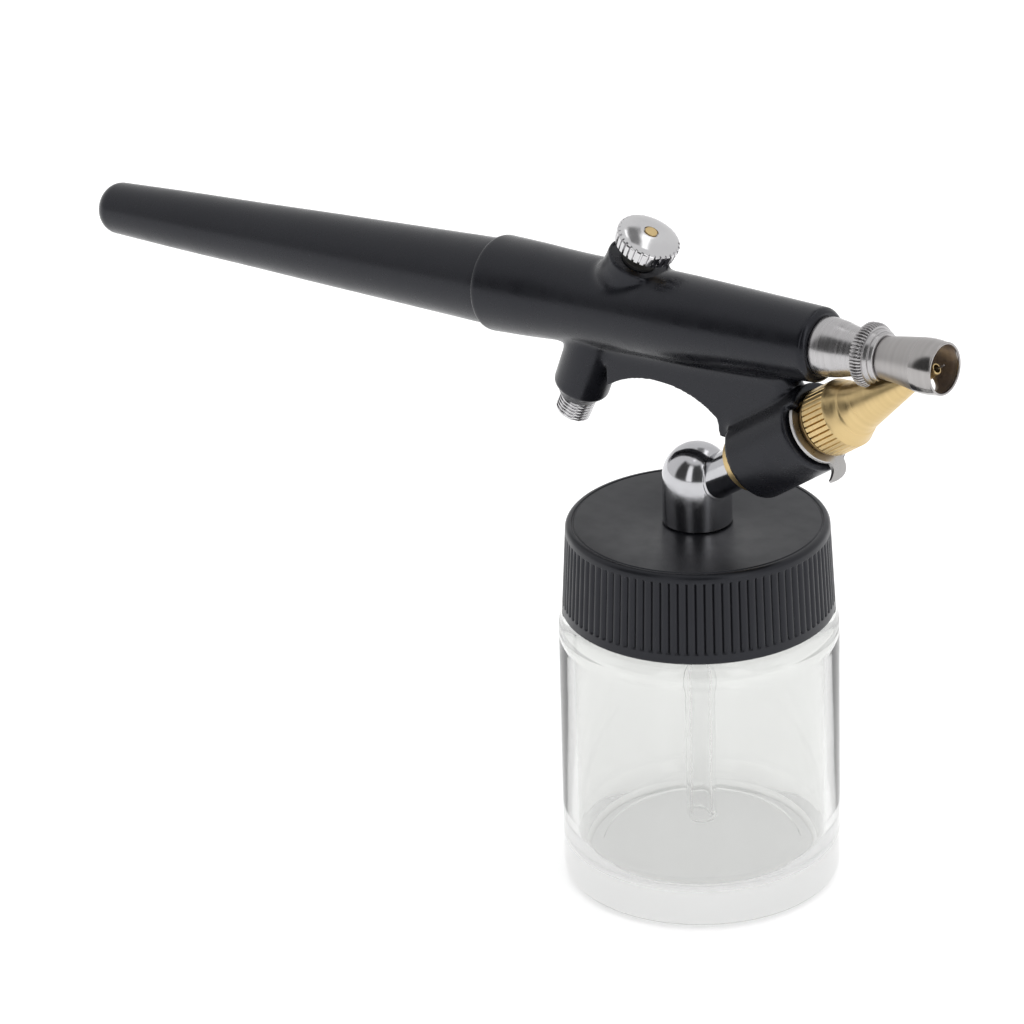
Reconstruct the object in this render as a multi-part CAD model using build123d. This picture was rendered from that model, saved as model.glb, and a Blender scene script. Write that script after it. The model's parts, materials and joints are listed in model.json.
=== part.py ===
from build123d import *
import math
import os

# An external-mix, single-action airbrush gun with a push-fit siphon jar.
# Millimetres, +Z up. The origin is the centre of the jar's base, on the surface it stands on.
# The gun's plane of symmetry is XZ and the nose points towards +X.

# ---- the three axes of the gun, all in the XZ plane ----
barrel_height = 81.448       # barrel axis above the origin
barrel_pitch = 4.475         # degrees, nose up
feed_height = 57.295         # where the feed axis starts, inside the elbow
feed_angle = 34.655          # degrees above the horizontal
valve_lean = 30.0            # degrees between the valve axis and the barrel's normal
valve_station = -12.82       # where the valve axis crosses the barrel axis
boss_lean = 21.0             # degrees from the vertical, the outside of the valve boss

# ---- glass jar ----
jar_radius = 19.0
jar_wall = 1.8
jar_floor = 4.2
jar_side_top = 38.0
jar_shoulder = 39.4
neck_radius = 15.3
neck_bore = 13.4
mouth_height = 49.9
neck_thread_crest = 15.9
neck_thread_pitch = 4.0
neck_thread_turns = 1.3

# ---- jar cap ----
cap_bottom = 39.68
cap_top = 52.40
cap_bottom_radius = 18.48
cap_top_radius = 17.80
cap_bore = 16.3
cap_roof = 1.70
cap_hole = 3.05
vent_radius = 0.6
vent_place = (-5.6, 7.2)
liner_thickness = 0.72

# ---- elbow, its fixings and the siphon tube ----
elbow_radius = 4.7
elbow_dome_centre = 58.94
elbow_gap = 0.05
spigot_radius = 2.95
spigot_bottom = 46.4
barb_radius = 1.25
barb_bottom = 40.0
elbow_bore = 0.8
nut_across_flats = 8.0
nut_thickness = 2.3
stub_radius = 2.92
stub_bore = 1.2
stub_start = 2.4
stub_end = 18.6
tube_radius = 2.05
tube_bore = 1.28
tube_bottom = 7.6

# ---- barrel ----
barrel_rear = -33.5
barrel_front = 21.4
barrel_rear_radius = 6.6
barrel_front_radius = 4.98
handle_socket = 5.0
handle_socket_depth = 10.5
rim_recess = 6.02
air_passage = 1.3
nose_socket = 3.0
nose_socket_end = 10.1

# ---- paint socket and web ----
socket_start = 12.4
socket_end = 24.0
socket_radius = 5.8
socket_bore = 4.05
web_half = 2.2
hood_end = 25.9
hood_half_angle = 40.0

# ---- valve, measured along the valve axis from the barrel axis ----
turret_radius = 4.3
turret_top = 8.55
valve_chamber = 1.9
packing_bore = 2.4
sleeve_radius = 2.45
sleeve_root = 2.2
sleeve_top = -8.6
sleeve_bottom = -19.2
stud_wall = (-19.0, -16.8)
sleeve_bore = 1.75
seat_hole = 1.25
seat_thickness = 1.1
boss_radius = 3.85
rod_radius = 0.9
button_radius = 4.4
button_bottom = 10.6
button_height = 2.75

# ---- nose, measured along the barrel axis ----
ring_start = 28.2
ring_end = 31.25
mouth_end = 40.6
skirt_wall = 0.33

# ---- handle ----
handle_end = -105.8

# ---- paint tip, measured along the feed axis ----
base_start = 9.7
base_flange = 4.5
knurl_start = 26.4
knurl_end = 30.4
knurl_radius = 4.7
tip_end = 47.6
clip_hook = [                # the clip's thumb hook, seen along the feed axis
    (-4.3, 1.6), (-5.3, 1.5), (-6.0, 1.75), (-6.6, 2.5), (-6.9, 3.05), (-7.25, 2.65),
    (-7.3, 1.5), (-7.05, 0.2), (-6.3, -0.75), (-5.4, -1.05), (-4.3, -1.1),
]


def axis_frame(start, angle_from_horizontal):
    """A frame whose Z runs along a line in the XZ plane and whose X is the line's upper normal."""
    c = math.cos(math.radians(angle_from_horizontal))
    s = math.sin(math.radians(angle_from_horizontal))
    return Plane(origin=start, x_dir=(-s, 0, c), z_dir=(c, 0, s))


pitch_tangent = math.tan(math.radians(barrel_pitch))
valve_x = valve_station * math.cos(math.radians(barrel_pitch))
valve_start = (valve_x, 0, barrel_height + valve_x * pitch_tangent)
valve_angle = 90 + barrel_pitch - valve_lean
barrel = axis_frame((0, 0, barrel_height), barrel_pitch)
feed = axis_frame((0, 0, feed_height), feed_angle)
valve = axis_frame(valve_start, valve_angle)
stud_end = valve.from_local_coords((0, 0, sleeve_bottom))
boss = axis_frame(stud_end, 90 - boss_lean)


def turned(outline):
    """Revolve (station, radius) points about the local Z axis."""
    points = [(radius, 0, station) for station, radius in outline]
    return revolve(make_face(Polyline(*points, close=True)), Axis.Z)


def turned_curve(curve, closing):
    """Revolve a smooth outer curve, closed by straight runs through the points of closing."""
    smooth = Spline(*[(radius, 0, station) for station, radius in curve])
    ends = [curve[-1]] + closing + [curve[0]]
    straight = Polyline(*[(radius, 0, station) for station, radius in ends])
    return revolve(make_face(smooth + straight), Axis.Z)


def rod(start, end, radius):
    """A cylinder between two stations of the local Z axis."""
    return turned([(start, 0), (start, radius), (end, radius), (end, 0)])


def pipe(start, end, outer, inner):
    """A tube between two stations of the local Z axis."""
    return turned([(start, inner), (start, outer), (end, outer), (end, inner)])


def ring(station, centre_radius, section_radius):
    """An O-ring around the local Z axis."""
    return Pos(0, 0, station) * Torus(centre_radius, section_radius)


def at(frame, shape):
    return frame.location * shape


# ---- jar ----
def bottle():
    heel = 2.0
    outside = [
        (0, jar_radius - heel), (heel * 0.3, jar_radius - heel * 0.3), (heel, jar_radius),
        (jar_side_top, jar_radius), (jar_shoulder, jar_radius - 1.4),
        (jar_shoulder, neck_radius), (mouth_height, neck_radius),
    ]
    inner = jar_radius - jar_wall
    inside = [
        (mouth_height, neck_bore), (jar_shoulder, neck_bore), (jar_side_top - 2.5, inner),
        (jar_floor + 2.8, inner), (jar_floor + 0.9, inner - 0.8), (jar_floor, inner - 2.8),
        (jar_floor, 0), (0, 0),
    ]
    glass = turned(outside + inside)
    ridge_height = neck_thread_pitch * neck_thread_turns
    start = jar_shoulder + 2.2
    path = Pos(0, 0, start) * Helix(neck_thread_pitch, ridge_height, neck_radius)
    section = Plane(origin=path @ 0, x_dir=(1, 0, 0), z_dir=path % 0)
    depth = neck_thread_crest - neck_radius
    profile = section * Polygon((-0.3, -0.8), (depth, -0.3), (depth, 0.3), (-0.3, 0.8), align=None)
    return glass + sweep(profile, path=path, is_frenet=True)


# ---- cap and liner ----
def vent():
    return Pos(*vent_place, 0) * rod(mouth_height - 2, cap_top + 2, vent_radius)


def jar_cap():
    roof = cap_top - cap_roof
    shell = turned([
        (cap_bottom, cap_bore), (cap_bottom, cap_bottom_radius),
        (cap_top - 0.75, cap_top_radius), (cap_top, cap_top_radius - 0.75),
        (cap_top, cap_hole), (roof, cap_hole), (roof, cap_bore),
    ])
    return shell - vent()


def cap_liner():
    roof = cap_top - cap_roof
    return pipe(roof - liner_thickness, roof, cap_bore - 0.05, 6.4) - vent()


# ---- elbow and its fixings ----
def elbow_body():
    dome_arc = CenterArc((0, elbow_dome_centre, 0), elbow_radius, 0, 90)
    below = Polyline(
        (0, elbow_dome_centre + elbow_radius), (0, barb_bottom), (barb_radius, barb_bottom),
        (barb_radius, spigot_bottom), (spigot_radius, spigot_bottom),
        (spigot_radius, cap_top + elbow_gap), (elbow_radius, cap_top + elbow_gap),
        (elbow_radius, elbow_dome_centre),
    )
    face = Plane.XZ * make_face(dome_arc + below)
    solid = revolve(face, Axis.Z)
    stub_hole = at(feed, rod(stub_start, elbow_radius + 4, stub_radius))
    cross_bore = at(feed, rod(0, stub_start + 1, elbow_bore))
    riser = rod(barb_bottom - 1, feed_height + 0.3, elbow_bore)
    return solid - stub_hole - cross_bore - riser


def feed_stub():
    tube = turned([
        (stub_start, stub_bore), (stub_start, stub_radius), (stub_end - 0.6, stub_radius),
        (stub_end, stub_radius - 0.4), (stub_end, stub_bore),
    ])
    return at(feed, tube)


def cap_washer():
    roof = cap_top - cap_roof
    return pipe(roof - 0.75, roof - 0.05, 5.6, spigot_radius + 0.05)


def elbow_nut():
    top = cap_top - cap_roof - 0.8
    hexagon = RegularPolygon(nut_across_flats / 2, 6, major_radius=False) - Circle(spigot_radius + 0.02)
    return Pos(0, 0, top - nut_thickness) * extrude(hexagon, nut_thickness)


def siphon_tube():
    pipe_body = pipe(tube_bottom, spigot_bottom - 0.1, tube_radius, tube_bore)
    angled_cut = Pos(0, 0, tube_bottom - 2.0) * Rot(0, 28, 0) * Box(12, 12, 4)
    return pipe_body - angled_cut


# ---- gun body ----
def barrel_shell():
    curve = [
        (barrel_rear + 0.6, barrel_rear_radius), (-27, 6.42), (-19, 6.09),
        (-4, 5.95), (5.5, 5.62), (barrel_front - 0.6, barrel_front_radius + 0.02),
    ]
    closing = [(barrel_front, barrel_front_radius - 0.55), (barrel_front, 0), (barrel_rear, 0),
               (barrel_rear, barrel_rear_radius - 0.45)]
    return at(barrel, turned_curve(curve, closing))


def turret():
    flare = turret_radius + 0.45
    return at(valve, turned([
        (0, 0), (0, flare), (4.4, flare), (6.0, turret_radius + 0.08), (turret_top - 0.1, turret_radius),
        (turret_top, turret_radius - 0.1), (turret_top, 0),
    ]))


def valve_boss():
    height = 19.0
    outline = [
        (2.7, 0), (2.7, 2.75), (3.3, 3.35), (4.2, boss_radius - 0.15), (5.2, boss_radius),
        (height, boss_radius + 0.15), (height, 0),
    ]
    return at(boss, turned(outline))


def web():
    arch = ThreePointArc((-13.5, 70.1), (-4.0, 72.1), (5.1, 69.2))
    around = Polyline((5.1, 69.2), (5.5, 66.85), (9.6, 66.8), (19.0, 73.6), (14.9, 73.6),
                      (14.9, 80.0), (-13.5, 78.0), (-13.5, 70.1))
    plate = Plane.XZ * make_face(arch + around)
    nose_side = Pos(14.9, 0, 72.0) * Cylinder(web_half, 8.0, align=(Align.CENTER, Align.CENTER, Align.MIN))
    return extrude(plate, web_half, both=True) + nose_side


def paint_socket():
    return at(feed, rod(socket_start, socket_end, socket_radius))


def clip_hood():
    """The raised keeper between the ends of the retaining clip, at the top of the socket."""
    sector = pipe(socket_end, hood_end, socket_radius, 4.65)
    reach = 12
    spread = reach * math.tan(math.radians(hood_half_angle))
    wedge = extrude(Polygon((0, 0), (reach, -spread), (reach, spread), align=None), hood_end + 1)
    return at(feed, sector & wedge)


def gun_body():
    outside = barrel_shell() + turret() + valve_boss() + web() + paint_socket() + clip_hood()
    rear = barrel_rear
    barrel_holes = [
        rod(rear - 1, rear + 0.9, rim_recess),
        rod(rear - 1, rear + handle_socket_depth, handle_socket),
        rod(valve_station, nose_socket_end + 1, air_passage),
        rod(nose_socket_end, barrel_front + 1, nose_socket),
    ]
    valve_holes = [
        rod(sleeve_top - 0.1, 2.6, valve_chamber),
        rod(2.5, turret_top + 1, packing_bore),
        rod(sleeve_bottom - 1, sleeve_top, sleeve_radius + 0.03),
    ]
    for hole in barrel_holes:
        outside -= at(barrel, hole)
    for hole in valve_holes:
        outside -= at(valve, hole)
    return outside - at(feed, rod(socket_start - 3, hood_end + 3, socket_bore))


# ---- handle ----
def handle():
    rim = barrel_rear + 0.2
    spigot_end = barrel_rear + handle_socket_depth - 1.0
    curve = [
        (handle_end + 0.05, 1.2), (handle_end + 0.9, 3.0), (handle_end + 2.6, 3.72), (-90.8, 4.15),
        (-66, 4.93), (-43, 5.65), (rim, 5.95),
    ]
    closing = [(rim + 0.6, 5.95), (rim + 0.6, handle_socket - 0.04), (spigot_end, handle_socket - 0.04),
               (spigot_end, 3.5), (-95, 2.4), (-95, 0), (handle_end, 0)]
    return at(barrel, turned_curve(curve, closing))


# ---- nose ----
def cone_clearance():
    """The paint tip's path, with room around it, cut out of the nose pieces."""
    room = 0.45
    return at(feed, turned([
        (24, 0), (24, knurl_radius + room), (knurl_end + 0.6, knurl_radius + room),
        (33.0, 3.45 + room), (40.0, 2.5), (46.0, 2.5), (49.5, 1.5), (49.5, 0),
    ]))


def nose_head():
    return at(barrel, turned([
        (11.6, 1.2), (11.6, nose_socket - 0.05), (barrel_front + 0.05, nose_socket - 0.05),
        (barrel_front + 0.05, 3.95), (22.8, 3.95), (24.3, 3.72), (25.6, 3.42),
        (ring_start - 0.05, 2.9), (ring_start - 0.05, 2.6), (ring_end + 1.2, 2.6),
        (ring_end + 1.2, 1.5), (28.0, 1.5), (28.0, 1.2),
    ])) - cone_clearance()


def nose_seal():
    return at(barrel, ring(nose_socket_end + 0.72, 2.3, 0.65))


def lock_ring():
    """The knurled ring that keeps the air cap on, with a bevelled and stepped front."""
    body = turned([
        (ring_start, 2.63), (ring_start, 4.15), (ring_start + 0.15, 4.3), (29.4, 4.3), (30.0, 3.9),
        (30.0, 3.65), (30.65, 3.6), (30.65, 3.3), (ring_end - 0.1, 3.25), (ring_end, 3.1),
        (ring_end, 2.63),
    ])
    return at(barrel, body) - cone_clearance()


def air_jet():
    return at(barrel, turned([
        (28.05, 0.5), (28.05, 1.48), (31.0, 1.48), (31.4, 1.25), (34.0, 0.9), (34.0, 0.5),
    ]))


def air_cap():
    """The flared skirt: a straight cone that turns into a short barrelled mouth."""
    start = ring_end + 0.05
    waist = (37.2, 3.66)
    belly = (38.4, 3.7)
    mouth = (mouth_end, 3.5)
    outside = [(start, 2.86), waist, belly, mouth]
    inside = [(s, r - skirt_wall) for s, r in (mouth, belly, waist)]
    bore = [(33.3, 2.8), (32.6, 2.63), (start, 2.63)]
    return at(barrel, turned(outside + inside + bore)) - cone_clearance()


# ---- valve ----
def valve_sleeve():
    """The hose stud, plain at its thread's major diameter, with the valve seat at its inner end."""
    wall_start, wall_end = stud_wall
    seat_under = sleeve_top - seat_thickness
    return at(valve, turned([
        (sleeve_bottom, sleeve_bore), (sleeve_bottom, sleeve_root), (wall_start, sleeve_radius),
        (wall_end, sleeve_radius), (wall_end + 0.1, sleeve_root), (wall_end + 0.4, sleeve_root),
        (wall_end + 0.5, sleeve_radius), (sleeve_top - 0.05, sleeve_radius),
        (sleeve_top - 0.05, seat_hole), (seat_under, seat_hole), (seat_under, sleeve_bore),
    ]))


seat_face = sleeve_top - seat_thickness
poppet_top = seat_face - 0.02
washer_thickness = 0.6
poppet_thickness = 0.7
spring_top = poppet_top - washer_thickness - poppet_thickness
spring_bottom = -15.8


def valve_rod():
    washer_under = poppet_top - washer_thickness
    button_top = button_bottom + button_height
    return at(valve, turned([
        (button_top, 0), (button_top, rod_radius - 0.1), (button_top - 0.1, rod_radius),
        (washer_under, rod_radius), (washer_under, 1.5), (spring_top, 1.5),
        (spring_top, 0.6), (spring_top - 1.4, 0.6), (spring_top - 1.4, 0),
    ]))


def valve_washer():
    return at(valve, pipe(poppet_top - washer_thickness, poppet_top, 1.55, rod_radius))


def valve_spring():
    wire = 0.16
    coil_radius = 1.2
    length = spring_top - spring_bottom - 2 * wire - 0.04
    start = spring_bottom + wire + 0.02
    path = Pos(0, 0, start) * Helix(length / 5, length, coil_radius)
    section = Plane(origin=path @ 0, x_dir=(1, 0, 0), z_dir=path % 0)
    return at(valve, sweep(section * Circle(wire), path=path, is_frenet=True))


def spring_retainer():
    body = pipe(spring_bottom - 1.6, spring_bottom, sleeve_bore - 0.02, 0.75)
    slot = Pos(0, 0, spring_bottom - 1.6) * Box(0.5, 4, 1.0)
    return at(valve, body - slot)


def rod_packing():
    return at(valve, ring(3.2, 1.62, 0.66))


def button_bush():
    """The black bush that guides the rod, screwed into the turret."""
    return at(valve, pipe(4.0, turret_top + 0.05, packing_bore - 0.03, rod_radius + 0.04))


def finger_button():
    rim = button_bottom
    bore = rod_radius
    brow = (button_radius - 0.1, 0, rim + 1.8)
    crown = (bore, 0, rim + button_height)
    rise = ThreePointArc(brow, (2.9, 0, rim + 2.45), crown)
    around = Polyline(
        crown, (bore, 0, rim + 0.35), (button_radius - 0.9, 0, rim + 0.35),
        (button_radius - 0.8, 0, rim), (button_radius - 0.2, 0, rim),
        (button_radius, 0, rim + 1.5), brow,
    )
    return at(valve, revolve(make_face(rise + around), Axis.Z))


# ---- paint tip group ----
def tip_base():
    tube = turned([
        (base_start, stub_radius + 0.06), (base_start, 3.8), (base_start + 0.2, 4.0),
        (24.4, 4.0), (24.4, 3.3), (25.1, 3.3), (25.1, 3.9), (26.05, base_flange),
        (26.2, base_flange), (26.2, 2.4), (31.0, 2.4), (31.0, 1.5), (23.4, 1.5),
        (23.4, 1.95), (19.2, 1.95), (19.2, stub_radius + 0.06),
    ])
    seal_groove = pipe(12.0, 13.4, 3.55, stub_radius)
    return at(feed, tube - seal_groove)


def stub_seal():
    return at(feed, pipe(12.05, 13.35, 3.5, stub_radius + 0.01))


def retaining_clip():
    washer = pipe(24.5, 25.05, 5.1, 3.35)
    reach = 12
    spread = reach * math.tan(math.radians(hood_half_angle + 4))
    mouth = extrude(Polygon((0, 0), (reach, -spread), (reach, spread), align=None), 30)
    hook = extrude(Polygon(*clip_hook, align=None), 0.55)
    return at(feed, washer + Pos(0, 0, 24.5) * hook - mouth)


def fluid_needle():
    shaft = turned([
        (21.0, 0), (21.0, 0.45), (44.0, 0.45), (49.0, 0.06), (49.0, 0),
    ])
    holder = rod(21.6, 23.2, 1.93)
    for turn in range(3):
        holder -= Rot(0, 0, 120 * turn) * Pos(1.15, 0, 0) * rod(21, 24, 0.5)
    return at(feed, shaft + holder)


def tip_seal():
    return at(feed, pipe(31.05, 31.6, 2.2, 1.3))


def paint_tip():
    bore = 2.46
    return at(feed, turned([
        (knurl_start, bore), (knurl_start, knurl_radius - 0.2), (knurl_start + 0.2, knurl_radius),
        (knurl_end, knurl_radius), (31.6, 4.1), (32.2, 3.75), (32.4, 3.55),
        (42.1, 1.5), (45.5, 0.98), (tip_end, 0.75), (tip_end, 0.56), (33.5, 1.5), (32.3, bore),
    ]))


parts = {
    "bottle": bottle(),
    "jar_cap": jar_cap(),
    "cap_liner": cap_liner(),
    "elbow_body": elbow_body(),
    "feed_stub": feed_stub(),
    "cap_washer": cap_washer(),
    "elbow_nut": elbow_nut(),
    "siphon_tube": siphon_tube(),
    "gun_body": gun_body(),
    "handle": handle(),
    "nose_head": nose_head(),
    "nose_seal": nose_seal(),
    "lock_ring": lock_ring(),
    "air_jet": air_jet(),
    "air_cap": air_cap(),
    "valve_sleeve": valve_sleeve(),
    "valve_rod": valve_rod(),
    "valve_washer": valve_washer(),
    "valve_spring": valve_spring(),
    "spring_retainer": spring_retainer(),
    "rod_packing": rod_packing(),
    "button_bush": button_bush(),
    "finger_button": finger_button(),
    "tip_base": tip_base(),
    "stub_seal": stub_seal(),
    "retaining_clip": retaining_clip(),
    "fluid_needle": fluid_needle(),
    "tip_seal": tip_seal(),
    "paint_tip": paint_tip(),
}

os.makedirs("parts", exist_ok=True)
for name, solid in parts.items():
    solid.label = name
    export_step(solid, f"parts/{name}.step")
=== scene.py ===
import json
import math

import bmesh
import bpy
import numpy as np
from mathutils import Matrix, Vector


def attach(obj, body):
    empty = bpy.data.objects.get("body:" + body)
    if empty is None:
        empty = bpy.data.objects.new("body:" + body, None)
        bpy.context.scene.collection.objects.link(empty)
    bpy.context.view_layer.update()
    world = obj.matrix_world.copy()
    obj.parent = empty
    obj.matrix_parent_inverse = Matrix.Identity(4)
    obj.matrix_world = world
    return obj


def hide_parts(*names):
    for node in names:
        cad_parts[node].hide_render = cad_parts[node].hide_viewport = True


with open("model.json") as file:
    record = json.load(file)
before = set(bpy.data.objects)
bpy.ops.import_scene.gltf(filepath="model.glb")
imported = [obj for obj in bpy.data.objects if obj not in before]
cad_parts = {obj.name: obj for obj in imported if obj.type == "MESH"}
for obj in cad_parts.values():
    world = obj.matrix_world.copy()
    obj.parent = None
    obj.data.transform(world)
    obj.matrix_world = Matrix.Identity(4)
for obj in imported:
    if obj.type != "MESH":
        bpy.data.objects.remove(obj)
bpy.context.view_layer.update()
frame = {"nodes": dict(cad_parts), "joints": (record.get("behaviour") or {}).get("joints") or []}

# Everything below is built in millimetres and scaled to metres when a piece is placed.
MM = 0.001
joints = {joint["name"]: joint for joint in frame["joints"]}

# ---- driving dimensions, in millimetres and degrees ----
barrel_height = 81.448
valve_station = -12.82
boss_lean = 21.0
stud_end_station = -19.2
jar_radius = 19.0
neck_radius = 15.3
neck_foot = 39.6
cap_bottom = 39.68
cap_top = 52.40
cap_bottom_radius = 18.48
cap_top_radius = 17.80
barrel_front = 21.4
barrel_rear = -33.5
ring_start = 28.2
ring_end = 31.25
mouth_end = 40.6
knurl_end = 30.4
knurl_radius = 4.7
button_bottom = 10.6
button_height = 2.75

# ---- studio: brightness of each part, and the front side's bearing in degrees ----
# far_light is the least brightness seen directly past the edge of the floor.
front_bearing = 39.7
tent_light = 0.86
opening_light = 0.07
strip_light = 1.3
floor_glow = 0.58
far_light = 1.6


# ---- places ----
def axis_frame(start, direction):
    """A frame in the XZ plane: Z along direction, X its upper normal."""
    along = Vector(direction).normalized()
    across = Vector((-along.z, 0, along.x))
    turn = Matrix((across, along.cross(across), along)).transposed().to_4x4()
    return Matrix.Translation(start) @ turn


upright = Matrix.Identity(4)
barrel = axis_frame((0, 0, barrel_height), -Vector(joints["handle_pull"]["axis"]))
feed_start = Vector(joints["gun_swivel"]["pos_m"]) / MM
feed = axis_frame(feed_start, joints["gun_swivel"]["axis"])
valve = axis_frame(barrel @ Vector((0, 0, valve_station)), -Vector(joints["button_press"]["axis"]))
boss_direction = (math.sin(math.radians(boss_lean)), 0, math.cos(math.radians(boss_lean)))
boss = axis_frame(valve @ Vector((0, 0, stud_end_station)), boss_direction)


# ---- outlines ----
def flow(points, steps=6):
    """A smooth run through the points."""
    line = [Vector(p) for p in points]
    line = [2 * line[0] - line[1]] + line + [2 * line[-1] - line[-2]]
    run = []
    for i in range(1, len(line) - 2):
        a, b, c, d = line[i - 1:i + 3]
        for k in range(steps):
            t = k / steps
            run.append(0.5 * (2 * b + (c - a) * t + (2 * a - 5 * b + 4 * c - d) * t * t
                              + (3 * b - a - 3 * c + d) * t ** 3))
    run.append(line[-2])
    return [tuple(p) for p in run]


def arc(station, radius, reach, start, end, steps=10):
    """Points of an arc about (station, radius); 0 degrees points outwards, 90 along the axis."""
    points = []
    for k in range(steps + 1):
        angle = math.radians(start + (end - start) * k / steps)
        points.append((station + reach * math.sin(angle), radius + reach * math.cos(angle)))
    return points


def soft(outline, reach=0.12, steps=4, sharpest=14):
    """Round each corner of a closed outline of (station, radius) points."""
    rounded = []
    for i, point in enumerate(outline):
        here = Vector(point)
        back = Vector(outline[i - 1]) - here
        ahead = Vector(outline[(i + 1) % len(outline)]) - here
        turn = math.degrees(back.angle(-ahead)) if back.length and ahead.length else 0
        if here.y == 0 or turn < sharpest:
            rounded.append(tuple(here))
            continue
        trim = min(reach, 0.45 * back.length, 0.45 * ahead.length)
        start = here + back.normalized() * trim
        end = here + ahead.normalized() * trim
        for k in range(steps + 1):
            t = k / steps
            rounded.append(tuple((1 - t) ** 2 * start + 2 * t * (1 - t) * here + t * t * end))
    return rounded


# ---- meshes ----
def turned_mesh(place, outline, segments=128, relief=None):
    """Revolve a closed outline of (station, radius) points about the local Z axis of place."""
    mesh = bmesh.new()
    rings = []
    for station, radius in outline:
        if radius < 1e-6:
            rings.append([mesh.verts.new(place @ Vector((0, 0, station)))])
            continue
        ring = []
        for k in range(segments):
            angle = 2 * math.pi * k / segments
            reach = radius + (relief(station, radius, angle) if relief else 0)
            spot = Vector((reach * math.cos(angle), reach * math.sin(angle), station))
            ring.append(mesh.verts.new(place @ spot))
        rings.append(ring)
    for low, high in zip(rings, rings[1:] + rings[:1]):
        for k in range(segments):
            n = (k + 1) % segments
            if len(low) == 1 and len(high) == 1:
                break
            if len(low) == 1:
                mesh.faces.new((low[0], high[n], high[k]))
            elif len(high) == 1:
                mesh.faces.new((low[k], low[n], high[0]))
            else:
                mesh.faces.new((low[k], low[n], high[n], high[k]))
    bmesh.ops.recalc_face_normals(mesh, faces=mesh.faces)
    return mesh


def prism_mesh(outline, half_width):
    """A plate in the XZ plane, half_width to each side."""
    mesh = bmesh.new()
    near = [mesh.verts.new((x, -half_width, z)) for x, z in outline]
    far = [mesh.verts.new((x, half_width, z)) for x, z in outline]
    mesh.faces.new(near)
    mesh.faces.new(list(reversed(far)))
    for i in range(len(outline)):
        n = (i + 1) % len(outline)
        mesh.faces.new((near[i], near[n], far[n], far[i]))
    bmesh.ops.recalc_face_normals(mesh, faces=mesh.faces)
    return mesh


def shaped(name, mesh):
    """An object in millimetres from a bmesh."""
    data = bpy.data.meshes.new(name)
    mesh.to_mesh(data)
    mesh.free()
    piece = bpy.data.objects.new(name, data)
    bpy.context.scene.collection.objects.link(piece)
    return piece


def applied(piece):
    """The piece with its modifiers made part of its mesh."""
    shape = piece.evaluated_get(bpy.context.evaluated_depsgraph_get())
    data = bpy.data.meshes.new_from_object(shape)
    piece.modifiers.clear()
    piece.data = data
    return piece


def cut(piece, other, solver="MANIFOLD", operation="DIFFERENCE"):
    """Take the other's shape out of the piece, or combine the two as the operation says."""
    change = piece.modifiers.new("change", "BOOLEAN")
    change.operation = operation
    change.solver = solver
    change.object = other
    applied(piece)
    bpy.data.objects.remove(other)
    return piece


def merge(piece, other):
    """Add the other's shape to the piece."""
    return cut(piece, other, operation="UNION")


def joined(name, meshes):
    """One object holding several overlapping closed meshes."""
    whole = bmesh.new()
    for mesh in meshes:
        data = bpy.data.meshes.new("part")
        mesh.to_mesh(data)
        mesh.free()
        whole.from_mesh(data)
        bpy.data.meshes.remove(data)
    return shaped(name, whole)


def placed(piece, body, material, stands_for, sharp=38):
    """Scale the piece to metres, shade it and fix it to its body."""
    piece.data.transform(Matrix.Scale(MM, 4))
    piece.data.materials.clear()
    piece.data.materials.append(material)
    piece.data.shade_smooth()
    piece.data.set_sharp_from_angle(angle=math.radians(sharp))
    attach(piece, body)
    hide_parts(*stands_for)
    return piece


def repaint(piece, material, place, inside):
    """Give the faces whose middle and normal, seen from place, pass the test a second material."""
    piece.data.materials.append(material)
    seen = place.inverted()
    turn = seen.to_3x3()
    for face in piece.data.polygons:
        if inside(seen @ (face.center / MM), turn @ face.normal):
            face.material_index = 1


# ---- materials ----
def node_material(name):
    material = bpy.data.materials.new(name)
    material.use_nodes = True
    tree = material.node_tree
    return material, tree, tree.nodes["Principled BSDF"]


def noise(tree, scale, detail=3.0, stretch=(1, 1, 1)):
    """Noise over the object's own coordinates, with scale in cycles per metre."""
    place = tree.nodes.new("ShaderNodeTexCoord")
    mapping = tree.nodes.new("ShaderNodeMapping")
    mapping.inputs["Scale"].default_value = stretch
    texture = tree.nodes.new("ShaderNodeTexNoise")
    texture.inputs["Scale"].default_value = scale
    texture.inputs["Detail"].default_value = detail
    tree.links.new(place.outputs["Object"], mapping.inputs["Vector"])
    tree.links.new(mapping.outputs["Vector"], texture.inputs["Vector"])
    return texture.outputs["Fac"]


def spread(tree, source, low, high, start=0.3, end=0.7):
    """Map a noise value to a range."""
    ramp = tree.nodes.new("ShaderNodeMapRange")
    ramp.inputs["From Min"].default_value = start
    ramp.inputs["From Max"].default_value = end
    ramp.inputs["To Min"].default_value = low
    ramp.inputs["To Max"].default_value = high
    tree.links.new(source, ramp.inputs["Value"])
    return ramp.outputs["Result"]


def tinted(tree, source, dark, light, start=0.3, end=0.7):
    """A colour between two shades, chosen by a noise value."""
    ramp = tree.nodes.new("ShaderNodeValToRGB")
    ramp.color_ramp.elements[0].position = start
    ramp.color_ramp.elements[0].color = (*dark, 1)
    ramp.color_ramp.elements[1].position = end
    ramp.color_ramp.elements[1].color = (*light, 1)
    tree.links.new(source, ramp.inputs["Fac"])
    return ramp.outputs["Color"]


def bumped(tree, shader, source, height, strength=1.0):
    bump = tree.nodes.new("ShaderNodeBump")
    bump.inputs["Distance"].default_value = height
    bump.inputs["Strength"].default_value = strength
    tree.links.new(source, bump.inputs["Height"])
    tree.links.new(bump.outputs["Normal"], shader.inputs["Normal"])
    return bump


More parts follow.
